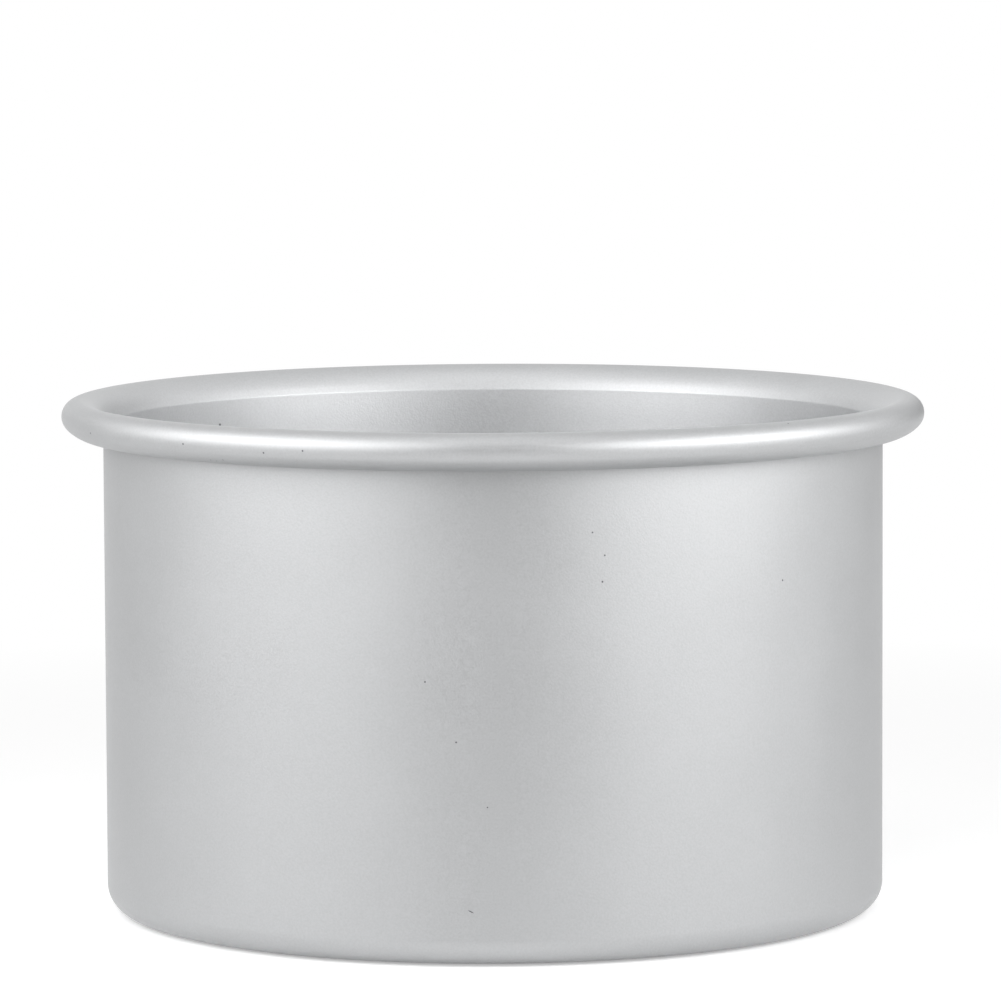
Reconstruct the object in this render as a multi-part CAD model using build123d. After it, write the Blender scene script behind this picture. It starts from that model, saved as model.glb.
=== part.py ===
from build123d import *
from math import acos, asin, cos, degrees, radians, sin
from numpy.linalg import solve
import os

# Deep round cake tin with a loose base, in millimetres. The origin is the
# centre of the foot, on the surface that the tin stands on, and +Z is up.

# The tin as it is sold: inside diameter and overall height
inside_diameter = 152.4
tin_height = 101.6

# Spun shell: one aluminium sheet from the ledge under the base to the rolled rim
shell_sheet = 1.0
foot_radius = 5.2
ledge_flat = 4.9

# Rolled rim, a hollow curl: above a tight crease the wall leans out, bends over
# a shoulder to a broad crest, rolls round, and comes back under to the wall. Its
# bends are radii of the sheet's centre line, and the three slopes are degrees
# from level where one bend meets the next
rim_height = 7.4
rim_width = 8.85
rim_offset = 0.35
crease_depth = 5.1
crease_inner_radius = 0.2
rim_lean = 22
lean_run = 0.8
crest_inner_slope = 11.6
crest_outer_slope = 22
under_slope = 45.2
under_bend = 6.5
lip_gap = 0.4

# Loose base: a thin pressed disc that rests on the ledge and drops into its opening
base_sheet = 1.0
base_to_table = 0.4
step_bend = 1.2
seat_clearance = 0.5
wall_clearance = 0.4
edge_ease = 1.0

# Radii that both pieces share
inner_radius = inside_diameter / 2
foot_inner_radius = foot_radius - shell_sheet
opening_radius = inner_radius - foot_inner_radius - ledge_flat


def sheet_section(start, runs, sheet):
    """Section of a sheet of even thickness, in the plane of the axis.

    The centre line leaves start level and outwards. A straight run is its
    length and 0. A bend is its radius and its turn in degrees, left positive.
    """
    place = Vector(*start)
    heading = 0
    left, right = [], []
    for size, turn in runs:
        ahead = Vector(1, 0).rotate(Axis.Z, heading)
        across = Vector(0, 1).rotate(Axis.Z, heading)
        if turn == 0:
            for edges, side in ((left, sheet / 2), (right, -sheet / 2)):
                edges.append(Line(place + across * side, place + ahead * size + across * side))
            place = place + ahead * size
        else:
            way = 1 if turn > 0 else -1
            centre = place + across * size * way
            for edges, side in ((left, sheet / 2), (right, -sheet / 2)):
                edges.append(CenterArc(centre, size - side * way, heading - 90 * way, turn))
            heading = heading + turn
            place = centre - Vector(0, 1).rotate(Axis.Z, heading) * size * way
    ends = [Line(left[0] @ 0, right[0] @ 0), Line(left[-1] @ 1, right[-1] @ 1)]
    return make_face(left + right + ends)


def spun(section):
    """Solid that the section sweeps in one full turn about the tin's axis."""
    return revolve(Plane.XZ * section, Axis.Z)


def tin_shell():
    """Ledge, rounded foot, upright wall and rolled rim, spun from one sheet."""
    half = shell_sheet / 2
    foot_bend = foot_radius - half
    crease_bend = crease_inner_radius + half
    crease_height = tin_height - crease_depth

    # The shoulder's, the crest's and the outer bend's radii are what makes the
    # rim as wide as it is, as high above the crease, and as high in all
    lean, crest_in, crest_out, under = (
        radians(angle) for angle in (rim_lean, crest_inner_slope, crest_outer_slope, under_slope)
    )
    left_over = [
        rim_offset + rim_width - shell_sheet - crease_bend * (1 - cos(lean)) - lean_run * sin(lean),
        crease_depth - half - crease_bend * sin(lean) - lean_run * cos(lean),
        rim_height - shell_sheet - under_bend * (1 - cos(under)),
    ]
    bend_shares = [
        [cos(lean) - sin(crest_in), sin(crest_in) + sin(crest_out), 1 - sin(crest_out)],
        [cos(crest_in) - sin(lean), 1 - cos(crest_in), 0],
        [0, 1 - cos(crest_out), cos(crest_out) + cos(under)],
    ]
    shoulder_bend, crest_bend, outer_bend = solve(bend_shares, left_over).tolist()

    # The bend under the rim goes on until the lip nearly meets the wall
    lowest = inner_radius + rim_offset + rim_width - half
    lowest -= outer_bend * (1 - sin(under)) + under_bend * sin(under)
    lip_reach = lowest - inner_radius - shell_sheet - lip_gap
    lip_turn = degrees(asin(lip_reach / (under_bend + half)))

    runs = [
        (ledge_flat, 0),
        (foot_bend, 90),
        (crease_height - foot_radius, 0),
        (crease_bend, -rim_lean),
        (lean_run, 0),
        (shoulder_bend, rim_lean + crest_inner_slope - 90),
        (crest_bend, -crest_inner_slope - crest_outer_slope),
        (outer_bend, crest_outer_slope + under_slope - 180),
        (under_bend, -under_slope - lip_turn),
    ]
    return spun(sheet_section((opening_radius, half), runs, shell_sheet))


def loose_base():
    """Disc stepped down into the ledge's opening, its edge turned up along the foot."""
    half = base_sheet / 2
    drop = shell_sheet - base_to_table
    step_turn = degrees(acos(1 - drop / (2 * step_bend)))
    step_radius = opening_radius - seat_clearance
    step_run = 2 * step_bend * sin(radians(step_turn))

    # The edge turns up on a wider arc than the foot, so it clears it all the way
    edge_radius = foot_inner_radius + edge_ease
    edge_start = inner_radius - wall_clearance - edge_radius

    runs = [
        (step_radius - step_run, 0),
        (step_bend, step_turn),
        (step_bend, -step_turn),
        (edge_start - step_radius, 0),
        (edge_radius - half, 90),
    ]
    return spun(sheet_section((0, base_to_table + half), runs, base_sheet))


os.makedirs("parts", exist_ok=True)
export_step(tin_shell(), "parts/tin_shell.step")
export_step(loose_base(), "parts/loose_base.step")
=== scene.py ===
from math import acos, asin, cos, degrees, pi, radians, sin

import bmesh
import bpy
import numpy as np
from mathutils import Euler, Matrix, Vector


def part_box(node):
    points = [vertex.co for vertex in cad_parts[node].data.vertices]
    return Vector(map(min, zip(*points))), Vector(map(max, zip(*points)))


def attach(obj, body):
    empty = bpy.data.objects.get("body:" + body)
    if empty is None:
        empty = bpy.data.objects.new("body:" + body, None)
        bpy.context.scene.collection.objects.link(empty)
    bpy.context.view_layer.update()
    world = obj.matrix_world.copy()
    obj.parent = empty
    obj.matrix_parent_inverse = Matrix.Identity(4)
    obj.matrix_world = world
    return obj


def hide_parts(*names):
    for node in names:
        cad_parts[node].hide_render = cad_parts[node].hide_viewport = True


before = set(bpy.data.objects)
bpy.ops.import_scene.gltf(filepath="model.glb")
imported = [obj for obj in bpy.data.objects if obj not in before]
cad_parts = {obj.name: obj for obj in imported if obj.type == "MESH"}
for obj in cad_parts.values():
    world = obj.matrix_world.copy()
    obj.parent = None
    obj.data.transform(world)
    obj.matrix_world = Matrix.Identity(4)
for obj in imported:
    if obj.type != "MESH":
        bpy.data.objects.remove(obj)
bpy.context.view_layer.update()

# Shell: one aluminium sheet, spun to an upright wall, turned in at the foot to
# a flat ledge, and rolled outwards at the top into a hollow rim with no wire
# in it. It is blasted to a fine even grain and clear anodised.
shell_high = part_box("tin_shell")[1]
tin_height = shell_high.z
inner_radius = 0.0762
shell_sheet = 0.001
foot_radius = 0.0052
ledge_flat = 0.0049
rim_height = 0.0074
rim_offset = 0.00035
rim_width = shell_high.x - inner_radius - rim_offset
crease_depth = 0.0051
crease_inner_radius = 0.0002
rim_lean, lean_run = 22.0, 0.0008
crest_inner_slope, crest_outer_slope, under_slope = 11.6, 22.0, 45.2
under_bend = 0.0065
lip_gap = 0.0004
edge_round = 0.0003
foot_inner_radius = foot_radius - shell_sheet
opening_radius = inner_radius - foot_inner_radius - ledge_flat


def sheet_sides(start, runs, sheet):
    """Both sides of a sheet's section, and the centre line's two ends.

    The centre line leaves start level and outwards. A straight run is its
    length and 0, and a bend is its radius and its turn in degrees, left
    positive. A side's point is the centre line's, moved half the sheet's
    thickness along the normal there. Returns the left side, the right side,
    and the point, the forward direction and the normal at each end.
    """
    longest_step, widest_turn = 0.005, 3.0
    place, heading = np.array(start, float), 0.0
    points, headings = [place[None, :]], [np.zeros(1)]
    for size, turn in runs:
        if turn == 0:
            steps = int(np.ceil(size / longest_step))
            s = np.linspace(0, size, steps + 1)[1:, None]
            points.append(place + s * np.array([cos(heading), sin(heading)]))
            headings.append(np.full(steps, heading))
        else:
            way = np.sign(turn)
            steps = int(np.ceil(abs(turn) / widest_turn))
            a = heading + np.linspace(0, radians(turn), steps + 1)[1:]
            centre = place + size * way * np.array([-sin(heading), cos(heading)])
            points.append(centre + size * way * np.stack([np.sin(a), -np.cos(a)], 1))
            headings.append(a)
        place, heading = points[-1][-1], headings[-1][-1]
    points, headings = np.concatenate(points), np.concatenate(headings)
    ahead = np.stack([np.cos(headings), np.sin(headings)], 1)
    across = np.stack([-np.sin(headings), np.cos(headings)], 1)
    left, right = points + across * sheet / 2, points - across * sheet / 2
    return left, right, (points[0], -ahead[0], across[0]), (points[-1], ahead[-1], across[-1])


def cut_edge(end, sheet, way):
    """Rounded edge of the sheet, half an ellipse from one side to the other.

    Its point at angle a is the end point plus across times cos a times half
    the sheet, plus forward times sin a times the rounding. It runs from the
    left side to the right one, or back where way is negative.
    """
    steps = 8
    point, forward, across = end
    a = np.linspace(0, pi, steps + 1)[1:-1, None]
    arc = point + across * np.cos(a) * sheet / 2 + forward * np.sin(a) * edge_round
    return arc if way > 0 else arc[::-1]


def lathed(name, outline, closed):
    """Surface of one full turn of an outline about the axis.

    Outline point (r, z) goes to (r cos a, r sin a, z) at even angles a. Points
    on the axis are merged to one, which closes the poles.
    """
    turns, merge_within = 288, 1e-7
    a = np.arange(turns) * 2 * pi / turns
    r, z = outline[:, 0, None], outline[:, 1, None]
    grid = np.stack([r * np.cos(a), r * np.sin(a), z + 0 * a], 2).reshape(-1, 3)
    i = np.arange(len(outline) - (0 if closed else 1))[:, None]
    j = np.arange(turns)[None, :]
    row, next_row = i * turns, (i + 1) % len(outline) * turns
    j_next = (j + 1) % turns
    quads = np.stack([row + j, next_row + j, next_row + j_next, row + j_next], 2)
    mesh = bpy.data.meshes.new(name)
    mesh.from_pydata(grid, [], quads.reshape(-1, 4))
    shape = bmesh.new()
    shape.from_mesh(mesh)
    bmesh.ops.remove_doubles(shape, verts=shape.verts, dist=merge_within)
    bmesh.ops.recalc_face_normals(shape, faces=shape.faces)
    shape.to_mesh(mesh)
    shape.free()
    mesh.shade_smooth()
    piece = bpy.data.objects.new(name, mesh)
    bpy.context.scene.collection.objects.link(piece)
    return piece


def shell_runs():
    """Runs of the shell's centre line, from the ledge's cut edge to the rim's lip.

    A bend of radius r that goes over the top from slope a to slope b, both in
    degrees from level, goes r (sin a + sin b) out, and one from a slope to
    upright goes r (1 - sin a) out and r cos a up. The shoulder's, the crest's
    and the outer bend's radii are the three unknowns that meet the rim's
    width, its height above the crease and its whole height.
    """
    half = shell_sheet / 2
    crease_bend = crease_inner_radius + half
    lean, crest_in, crest_out, under = (
        radians(angle) for angle in (rim_lean, crest_inner_slope, crest_outer_slope, under_slope)
    )
    left_over = [
        rim_offset + rim_width - shell_sheet - crease_bend * (1 - cos(lean)) - lean_run * sin(lean),
        crease_depth - half - crease_bend * sin(lean) - lean_run * cos(lean),
        rim_height - shell_sheet - under_bend * (1 - cos(under)),
    ]
    bend_shares = [
        [cos(lean) - sin(crest_in), sin(crest_in) + sin(crest_out), 1 - sin(crest_out)],
        [cos(crest_in) - sin(lean), 1 - cos(crest_in), 0],
        [0, 1 - cos(crest_out), cos(crest_out) + cos(under)],
    ]
    shoulder_bend, crest_bend, outer_bend = np.linalg.solve(bend_shares, left_over)
    lowest = inner_radius + rim_offset + rim_width - half
    lowest -= outer_bend * (1 - sin(under)) + under_bend * sin(under)
    lip_reach = lowest - inner_radius - shell_sheet - lip_gap
    lip_turn = degrees(asin(lip_reach / (under_bend + half)))
    return [
        (ledge_flat - edge_round, 0),
        (foot_radius - half, 90),
        (tin_height - crease_depth - foot_radius, 0),
        (crease_bend, -rim_lean),
        (lean_run, 0),
        (shoulder_bend, rim_lean + crest_inner_slope - 90),
        (crest_bend, -crest_inner_slope - crest_outer_slope),
        (outer_bend, crest_outer_slope + under_slope - 180),
        (under_bend, -under_slope - lip_turn + degrees(edge_round / under_bend)),
    ]


ledge_edge = (opening_radius + edge_round, shell_sheet / 2)
left, right, start, end = sheet_sides(ledge_edge, shell_runs(), shell_sheet)
lip_round, ledge_round = cut_edge(end, shell_sheet, 1), cut_edge(start, shell_sheet, -1)
shell_outline = np.concatenate([left, lip_round, right[::-1], ledge_round])
shell = lathed("spun_shell", shell_outline, closed=True)


def satin_aluminium(name, tone, roughness, inside, rim, marks=()):
    """Blasted and clear anodised aluminium.

    The blasting leaves a grain of less than half a millimetre in the tone, the
    gloss and the bump, over a slow mottle of a few centimetres. The inside's
    tone is painted lighter than the outside's, which is painted light: inside
    gives that tone's factor over the outside's and the inside's roughness, and
    both come in as the surface turns to face the axis. The rolled rim has its
    own roughness, rim. Sparse pits and the marks are small and dark. A mark is
    its angle from the camera's side, to the right, its radius and its height
    on the tin, its tilt, its length and its width, with angles in degrees.
    """
    grain_size, grain_detail, grain_tone, grain_gloss = 0.0004, 2.0, 0.06, 0.05
    mottle_size, mottle_detail, mottle_tone, mottle_gloss = 0.02, 3.0, 0.015, 0.015
    grain_depth = 0.000025
    pit_spacing, pit_radius, cells_without_pit = 0.007, 0.00024, 0.8
    mark_core, mark_fade = 0.6, 1.2
    mark_colour = (0.12, 0.12, 0.13, 1)
    rim_from, rim_to = 0.0945, 0.0965
    made = bpy.data.materials.new(name)
    made.use_nodes = True
    nodes, links = made.node_tree.nodes, made.node_tree.links
    shader = nodes["Principled BSDF"]
    shader.inputs["Metallic"].default_value = 1.0
    texture = nodes.new("ShaderNodeTexCoord")
    coords = texture.outputs["Object"]

    def put(socket, value):
        if isinstance(value, (int, float, tuple)):
            socket.default_value = value
        else:
            links.new(value, socket)

    def noise(size, detail):
        node = nodes.new("ShaderNodeTexNoise")
        node.inputs["Scale"].default_value = 1 / size
        node.inputs["Detail"].default_value = detail
        links.new(coords, node.inputs["Vector"])
        return node.outputs["Fac"]

    def spread(value, low, high, source_low=0.3, source_high=0.7):
        """Value carried from its own range, by default most of a noise's, to low and high."""
        node = nodes.new("ShaderNodeMapRange")
        node.inputs["From Min"].default_value = source_low
        node.inputs["From Max"].default_value = source_high
        node.inputs["To Min"].default_value = low
        node.inputs["To Max"].default_value = high
        links.new(value, node.inputs["Value"])
        return node.outputs["Result"]

    def maths(kind, a, b):
        node = nodes.new("ShaderNodeMath")
        node.operation = kind
        put(node.inputs[0], a)
        put(node.inputs[1], b)
        return node.outputs["Value"]

    def vector(kind, a, b=(0, 0, 0)):
        node = nodes.new("ShaderNodeVectorMath")
        node.operation = kind
        put(node.inputs[0], a)
        put(node.inputs[1], b)
        return node.outputs["Value" if kind in ("DOT_PRODUCT", "LENGTH") else "Vector"]

    def blend(share, low, high):
        node = nodes.new("ShaderNodeMix")
        put(node.inputs["Factor"], share)
        put(node.inputs["A"], low)
        put(node.inputs["B"], high)
        return node.outputs["Result"]

    outwards = vector("NORMALIZE", vector("MULTIPLY", coords, (1, 1, 0)))
    facing_in = spread(vector("DOT_PRODUCT", outwards, texture.outputs["Normal"]), 0, 1, 0, -1)
    split = nodes.new("ShaderNodeSeparateXYZ")
    links.new(coords, split.inputs["Vector"])
    on_rim = spread(split.outputs["Z"], 0, 1, rim_from, rim_to)

    grain = noise(grain_size, grain_detail)
    mottle = noise(mottle_size, mottle_detail)
    cells = nodes.new("ShaderNodeTexVoronoi")
    cells.inputs["Scale"].default_value = 1 / pit_spacing
    links.new(coords, cells.inputs["Vector"])
    pit_edge = pit_radius / pit_spacing
    near_pit = spread(cells.outputs["Distance"], 1, 0, pit_edge / 2, pit_edge)
    cell_draw = nodes.new("ShaderNodeSeparateColor")
    links.new(cells.outputs["Color"], cell_draw.inputs["Color"])
    has_pit = maths("GREATER_THAN", cell_draw.outputs["Red"], cells_without_pit)
    marked = maths("MULTIPLY", near_pit, has_pit)
    for angle, radius, height, tilt, length, width in marks:
        around = radians(angle)
        middle = (radius * sin(around), -radius * cos(around), height)
        place = nodes.new("ShaderNodeMapping")
        place.vector_type = "TEXTURE"
        place.inputs["Location"].default_value = middle
        place.inputs["Rotation"].default_value = (0, radians(tilt), around)
        place.inputs["Scale"].default_value = (length / 2, width / 2, width / 2)
        links.new(coords, place.inputs["Vector"])
        off_middle = vector("LENGTH", place.outputs["Vector"])
        marked = maths("MAXIMUM", marked, spread(off_middle, 1, 0, mark_core, mark_fade))

    shade = maths(
        "MULTIPLY",
        spread(grain, 1 - grain_tone, 1 + grain_tone),
        spread(mottle, 1 - mottle_tone, 1 + mottle_tone),
    )
    # Painted light: the inside's tone is made lighter by inside's first value as the surface turns
    # to face the axis
    shade = maths("MULTIPLY", shade, blend(facing_in, 1.0, inside[0]))
    tint = nodes.new("ShaderNodeVectorMath")
    tint.operation = "SCALE"
    tint.inputs[0].default_value = tone
    links.new(shade, tint.inputs["Scale"])
    darkened = nodes.new("ShaderNodeMix")
    darkened.data_type = "RGBA"
    darkened.inputs["B"].default_value = mark_colour
    links.new(marked, darkened.inputs["Factor"])
    links.new(tint.outputs["Vector"], darkened.inputs["A"])
    links.new(darkened.outputs["Result"], shader.inputs["Base Color"])
    uneven = maths(
        "ADD", spread(grain, -grain_gloss, grain_gloss), spread(mottle, -mottle_gloss, mottle_gloss)
    )
    evenly = blend(on_rim, blend(facing_in, roughness, inside[1]), rim)
    links.new(maths("ADD", evenly, uneven), shader.inputs["Roughness"])
    bump = nodes.new("ShaderNodeBump")
    bump.inputs["Strength"].default_value = 1.0
    bump.inputs["Distance"].default_value = grain_depth
    links.new(grain, bump.inputs["Height"])
    links.new(bump.outputs["Normal"], shader.inputs["Normal"])
    return made


# Marks of use at their places on this tin: a short scratch low on the wall,
# three pits on the wall, seven on the rim, and one just inside it
shell_marks = (
    (-3.39, 0.07720, 0.01072, 27, 0.00118, 0.00022),
    (-1.01, 0.07720, 0.03054, 0, 0.00030, 0.00030),
    (-9.68, 0.07720, 0.05422, 0, 0.00035, 0.00035),
    (13.92, 0.07720, 0.08215, 0, 0.00035, 0.00035),
    (-40.08, 0.08292, 0.09507, 0, 0.00030, 0.00030),
    (-39.20, 0.08266, 0.09494, 0, 0.00030, 0.00030),
    (-37.70, 0.08329, 0.09529, 0, 0.00035, 0.00035),
    (-65.63, 0.08531, 0.09775, 0, 0.00040, 0.00040),
    (-43.38, 0.08535, 0.09801, 0, 0.00040, 0.00040),
    (-30.34, 0.08517, 0.09730, 0, 0.00040, 0.00040),
    (-24.64, 0.08535, 0.09801, 0, 0.00040, 0.00040),
    (-132.42, 0.07620, 0.09167, 0, 0.00060, 0.00060),
)
# The inside's tone factor, 1.30, is painted light that makes the inside lighter; 0.52 is the
# inside's roughness
shell_tone, shell_roughness, shell_inside_painted_light_and_roughness = (0.458, 0.463, 0.469), 0.55, (1.30, 0.52)
shell.data.materials.append(satin_aluminium(
    "shell_satin", shell_tone, shell_roughness, shell_inside_painted_light_and_roughness, shell_roughness, shell_marks
))
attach(shell, "shell")
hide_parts("tin_shell")

# Loose base: a thin pressed aluminium disc. It rests by its own weight on the
# ledge, is stepped down into the ledge's opening, and its edge turns up along
# the foot's inner corner. It has the shell's finish, a little smoother.
base_sheet = 0.001
base_to_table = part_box("loose_base")[0].z
step_bend = 0.0012
seat_clearance = 0.0005
wall_clearance = 0.0004
edge_ease = 0.001


def base_runs():
    """Runs of the base's centre line, from the axis to the turned-up edge.

    The step is two equal bends, one each way: with bend radius b and drop d,
    each turns by the angle whose cosine is 1 - d / (2 b).
    """
    drop = shell_sheet - base_to_table
    step_turn = degrees(acos(1 - drop / (2 * step_bend)))
    step_radius = opening_radius - seat_clearance
    edge_radius = foot_inner_radius + edge_ease
    edge_bend = edge_radius - base_sheet / 2
    return [
        (step_radius - 2 * step_bend * sin(radians(step_turn)), 0),
        (step_bend, step_turn),
        (step_bend, -step_turn),
        (inner_radius - wall_clearance - edge_radius - step_radius, 0),
        (edge_bend, 90 - degrees(edge_round / edge_bend)),
    ]


base_middle = (0, base_to_table + base_sheet / 2)
left, right, start, end = sheet_sides(base_middle, base_runs(), base_sheet)
edge_top = cut_edge(end, base_sheet, 1)
base_outline = np.concatenate([left, edge_top, right[::-1]])
base = lathed("pressed_base", base_outline, closed=False)
base_tone, base_roughness = (0.58, 0.585, 0.593), 0.5
base.data.materials.append(satin_aluminium(
    "base_satin", base_tone, base_roughness, (1.0, base_roughness), base_roughness
))
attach(base, "base")
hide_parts("loose_base")

# Floor: a plain pale painted floor that keeps the tin's soft shadow. Light Path
# makes it white to the camera, in reflections and through glass, and so it is
# a little way off in full. It isn't part of the object.
floor_half, floor_drop = 6.0, 0.0002
floor_tone, floor_roughness, floor_glow = 0.8, 0.9, 0.330
white_from, white_to = 0.15, 0.45


def seen(tree):
    """1 for camera, glossy and transmission rays, 0 for the rest."""
    path = tree.nodes.new("ShaderNodeLightPath")
    any_of = path.outputs["Is Camera Ray"]
    for ray in ("Is Glossy Ray", "Is Transmission Ray"):
        either = tree.nodes.new("ShaderNodeMath")
        either.operation = "MAXIMUM"
        tree.links.new(any_of, either.inputs[0])
        tree.links.new(path.outputs[ray], either.inputs[1])
        any_of = either.outputs["Value"]
    return any_of


floor_mesh = bpy.data.meshes.new("floor")
floor_corners = [
    (x * floor_half, y * floor_half, -floor_drop) for x, y in ((-1, -1), (1, -1), (1, 1), (-1, 1))
]
floor_mesh.from_pydata(floor_corners, [], [(0, 1, 2, 3)])
floor = bpy.data.objects.new("floor", floor_mesh)
bpy.context.scene.collection.objects.link(floor)
floor_paint = bpy.data.materials.new("floor_paint")
floor_paint.use_nodes = True
nodes, links = floor_paint.node_tree.nodes, floor_paint.node_tree.links
paint = nodes["Principled BSDF"]
paint.inputs["Base Color"].default_value = (floor_tone, floor_tone, floor_tone, 1)
paint.inputs["Roughness"].default_value = floor_roughness
paint.inputs["Emission Color"].default_value = (1, 1, 1, 1)
glow = nodes.new("ShaderNodeMath")
glow.operation = "MULTIPLY"
glow.inputs[1].default_value = floor_glow
links.new(seen(floor_paint.node_tree), glow.inputs[0])
links.new(glow.outputs["Value"], paint.inputs["Emission Strength"])
away = nodes.new("ShaderNodeVectorMath")
away.operation = "LENGTH"
links.new(nodes.new("ShaderNodeTexCoord").outputs["Object"], away.inputs[0])
far = nodes.new("ShaderNodeMapRange")
far.inputs["From Min"].default_value = white_from
far.inputs["From Max"].default_value = white_to
links.new(away.outputs["Value"], far.inputs["Value"])
share = nodes.new("ShaderNodeMath")
share.operation = "MULTIPLY"
links.new(far.outputs["Result"], share.inputs[0])
links.new(seen(floor_paint.node_tree), share.inputs[1])
white = nodes.new("ShaderNodeEmission")
whitened = nodes.new("ShaderNodeMixShader")
links.new(share.outputs["Value"], whitened.inputs["Fac"])
links.new(paint.outputs["BSDF"], whitened.inputs[1])
links.new(white.outputs["Emission"], whitened.inputs[2])
links.new(whitened.outputs["Shader"], nodes["Material Output"].inputs["Surface"])
floor.data.materials.append(floor_paint)

# Light: a white room with a soft box on each side of the camera and a weak one
# overhead. Dark cards, which the camera doesn't see, keep the gap between the
# boxes and the sides behind the tin dark in its reflections.
room_light, room_seen = 0.6, 1.0
world = bpy.data.worlds.new("white_room")
bpy.context.scene.world = world
world.use_nodes = True
nodes, links = world.node_tree.nodes, world.node_tree.links
level = nodes.new("ShaderNodeMapRange")
level.inputs["To Min"].default_value = room_light
level.inputs["To Max"].default_value = room_seen
links.new(seen(world.node_tree), level.inputs["Value"])
nodes["Background"].inputs["Color"].default_value = (1, 1, 1, 1)
links.new(level.outputs["Result"], nodes["Background"].inputs["Strength"])


def soft_box(name, azimuth, elevation, distance, width, tall, watts):
    """Rectangular lamp aimed at the middle of the tin.

    Its azimuth is in degrees from the camera's side, to the right, and its
    elevation in degrees from level.
    """
    lamp = bpy.data.lights.new(name, "AREA")
    lamp.shape = "RECTANGLE"
    lamp.size, lamp.size_y = width, tall
    lamp.energy = watts
    box = bpy.data.objects.new(name, lamp)
    box.visible_camera = False
    aim = Vector((0, 0, tin_height / 2))
    turn = Euler((radians(90 - elevation), 0, radians(azimuth))).to_matrix().to_4x4()
    box.matrix_world = Matrix.Translation(aim) @ turn @ Matrix.Translation((0, 0, distance))
    bpy.context.scene.collection.objects.link(box)


soft_box(
    "soft_box_left", azimuth=-52.7, elevation=29.0, distance=0.336,
    width=0.422, tall=0.224, watts=0.882,
)
soft_box(
    "soft_box_right", azimuth=55.0, elevation=23.6, distance=0.317,
    width=0.361, tall=0.149, watts=0.658,
)
soft_box(
    "soft_box_top", azimuth=0.0, elevation=76.6, distance=0.800,
    width=0.533, tall=0.533, watts=0.362,
)

card_tone, card_roughness = (0.02, 0.02, 0.02, 1), 1.0
card_black = bpy.data.materials.new("card_black")
card_black.use_nodes = True
card_paint = card_black.node_tree.nodes["Principled BSDF"]
card_paint.inputs["Base Color"].default_value = card_tone
card_paint.inputs["Roughness"].default_value = card_roughness


def dark_card(name, azimuth, distance, width, tall):
    """Upright card on the floor, facing the tin, azimuth as for the soft boxes."""
    mesh = bpy.data.meshes.new(name)
    corners = [(x * width / 2, 0, z * tall) for x, z in ((-1, 0), (1, 0), (1, 1), (-1, 1))]
    mesh.from_pydata(corners, [], [(0, 1, 2, 3)])
    mesh.materials.append(card_black)
    card = bpy.data.objects.new(name, mesh)
    card.visible_camera = False
    turn = Euler((0, 0, radians(azimuth))).to_matrix().to_4x4()
    card.matrix_world = turn @ Matrix.Translation((0, -distance, 0))
    bpy.context.scene.collection.objects.link(card)


dark_card("dark_card_tall", azimuth=0.0, distance=2.00, width=1.972, tall=2.114)
dark_card("dark_card_low", azimuth=0.0, distance=2.05, width=2.176, tall=0.420)
dark_card("dark_card_back_left", azimuth=-130.3, distance=2.00, width=0.314, tall=0.838)
dark_card("dark_card_back_right", azimuth=149.2, distance=2.00, width=1.349, tall=0.702)

# Camera: at the photograph's viewpoint, a long lens from a little above the rim
camera_distance, camera_height = 1.324, 0.21234
pitch_down, yaw_right, roll = radians(5.673), radians(0.062), radians(0.269)
sensor_width, focal_length = 36.0, 240.96
camera_data = bpy.data.cameras.new("camera")
camera_data.sensor_width = sensor_width
camera_data.lens = focal_length
camera = bpy.data.objects.new("camera", camera_data)
camera.matrix_world = (
    Matrix.Translation((0, -camera_distance, camera_height))
    @ Euler((0, 0, -yaw_right)).to_matrix().to_4x4()
    @ Euler((pi / 2 - pitch_down, 0, 0)).to_matrix().to_4x4()
    @ Euler((0, 0, -roll)).to_matrix().to_4x4()
)
bpy.context.scene.collection.objects.link(camera)
bpy.context.scene.camera = camera
bpy.context.scene.view_settings.view_transform = "Standard"
